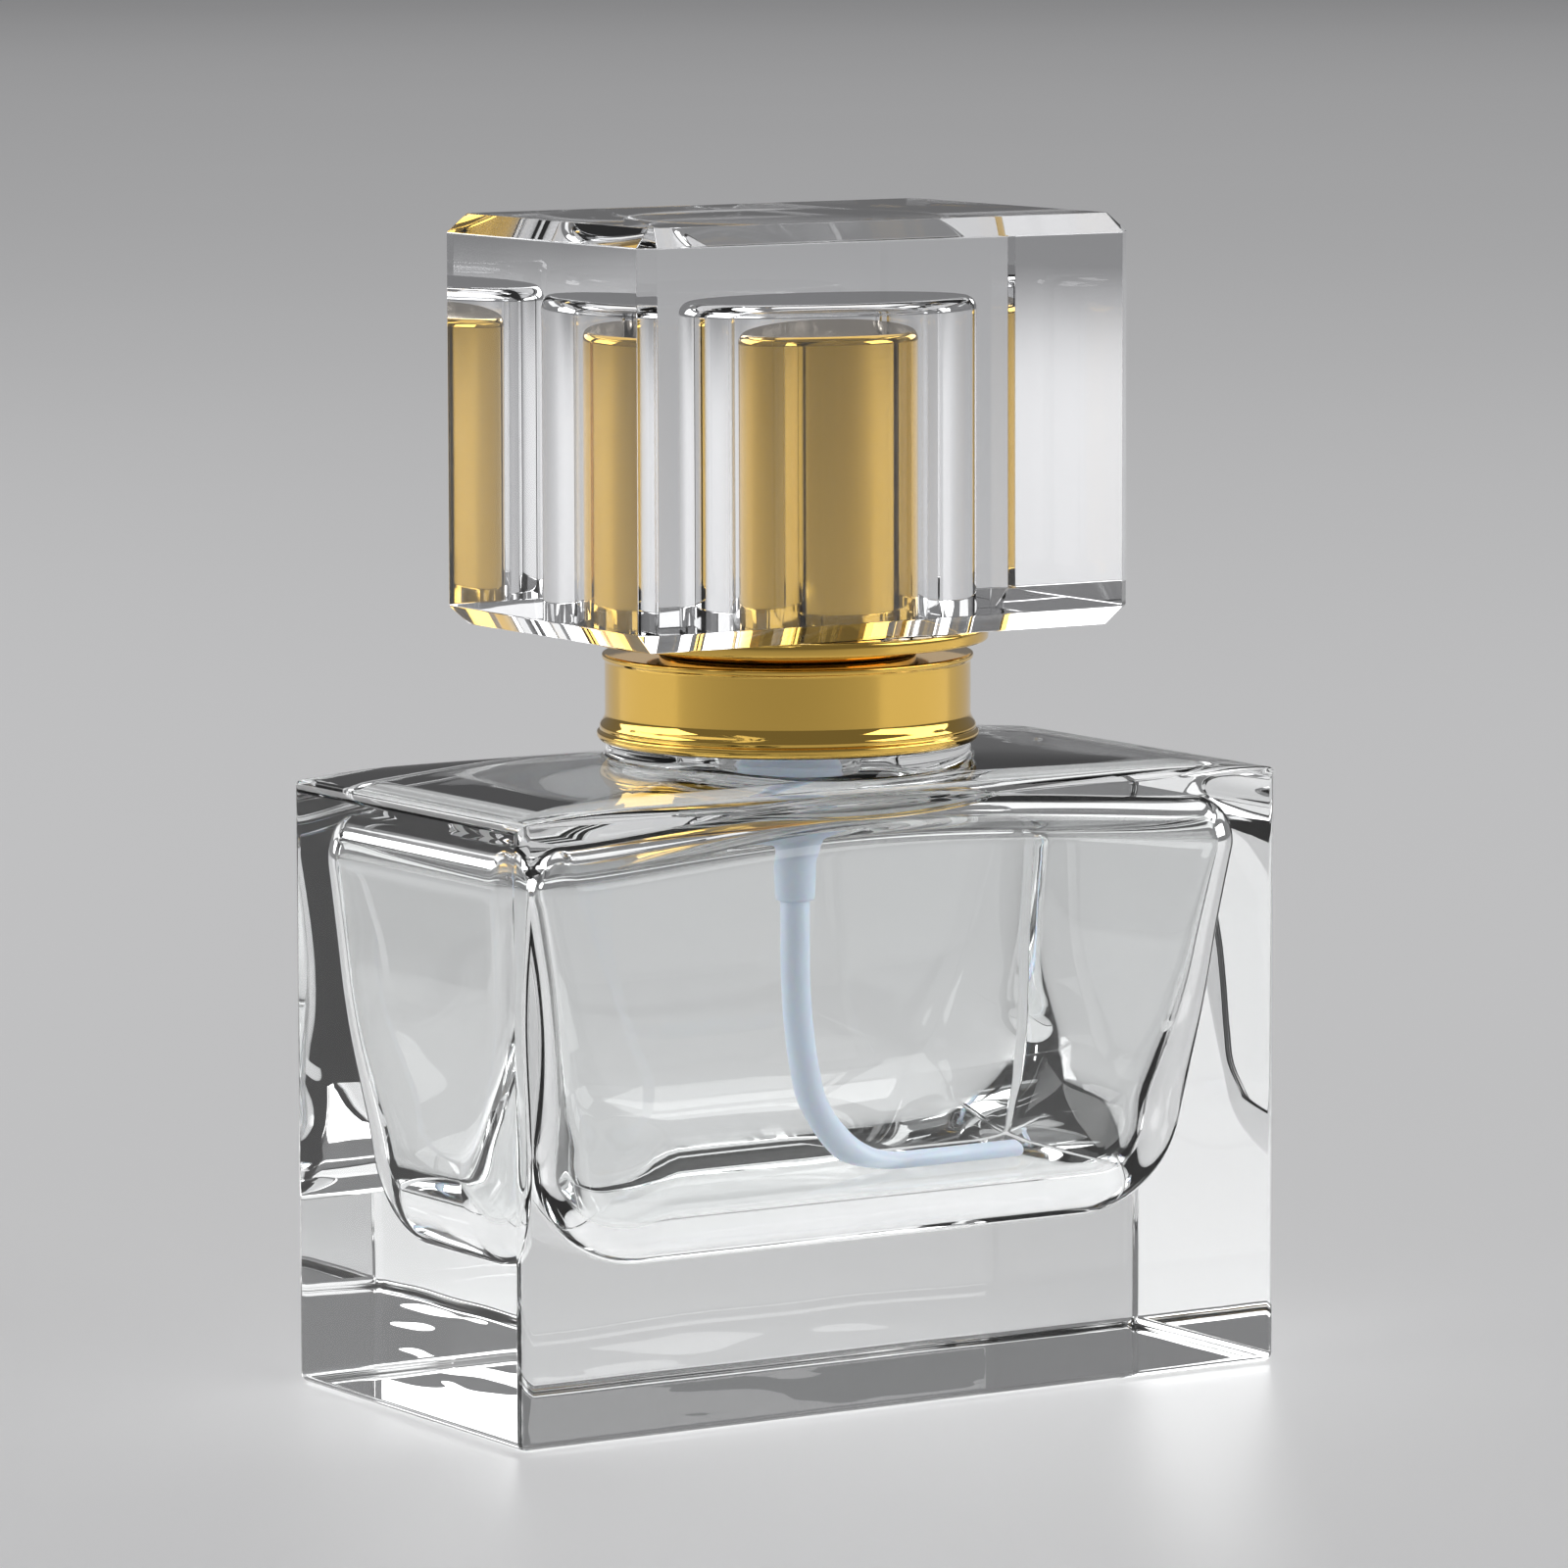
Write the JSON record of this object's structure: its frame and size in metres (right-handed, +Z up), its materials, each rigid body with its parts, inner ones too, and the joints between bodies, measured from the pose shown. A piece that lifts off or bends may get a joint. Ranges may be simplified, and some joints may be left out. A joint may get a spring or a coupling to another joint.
{
  "type": "atomiser bottle",
  "caption": "Rectangular clear glass atomiser bottle with a heavy base, crimped spray pump, gold collar and clear block pull-off cap.",
  "frame": {"origin": "centre of the bottle's base, on the surface that it stands on", "axes": "+Z up along the neck's axis, X along the bottle's width, -Y towards the front, where the nozzle points"},
  "size_m": [0.06, 0.0304, 0.0791],
  "materials": {
    "clear_glass": "clear colourless glass, polished",
    "clear_acrylic": "clear acrylic with a bluish white cast, polished",
    "gold": "gold anodised, mirror polished",
    "ferrule_aluminium": "plain bright",
    "natural_plastic": "natural translucent polyethylene",
    "white_plastic": "white moulded polypropylene",
    "seal": "matte grey seal rubber",
    "steel": "bright drawn stainless steel"
  },
  "bodies": {
    "bottle": {"glass_bottle": "clear_glass", "neck_gasket": "seal", "crimp_ferrule": "ferrule_aluminium", "collar_insert": "white_plastic", "collar_shell": "gold", "pump_housing": "natural_plastic", "pump_turret": "white_plastic", "stem_gasket": "seal", "return_spring": "steel", "dip_tube": "natural_plastic"},
    "cap": {"cap_block": "clear_acrylic", "cap_sleeve": "gold", "cap_liner": "white_plastic"},
    "stem": {"pump_stem": "white_plastic", "priming_spring": "steel"},
    "piston": {"pump_piston": "natural_plastic"},
    "actuator": {"actuator_core": "white_plastic", "actuator_shell": "gold", "spray_insert": "white_plastic"},
    "inlet_valve": {"inlet_ball": "steel"}
  },
  "joints": [
    {"name": "cap_lift", "type": "slide", "parent": "bottle", "child": "cap", "axis": [0, 0, 1], "range_m": [0, 0.03]},
    {"name": "pump_press", "type": "slide", "parent": "bottle", "child": "stem", "axis": [0, 0, -1], "range_m": [0, 0.004], "stiffness_N_per_m": 600, "deforming": ["return_spring"]},
    {"name": "actuator_turn", "type": "hinge", "parent": "stem", "child": "actuator", "pos_m": [0, 0, 0.06], "axis": [0, 0, 1], "continuous": true},
    {"name": "piston_rise", "type": "slide", "parent": "stem", "child": "piston", "axis": [0, 0, 1], "range_m": [0, 0.0006], "stiffness_N_per_m": 100, "deforming": ["priming_spring"]},
    {"name": "ball_lift", "type": "slide", "parent": "bottle", "child": "inlet_valve", "axis": [0, 0, 1], "range_m": [0, 0.0006]}
  ]
}
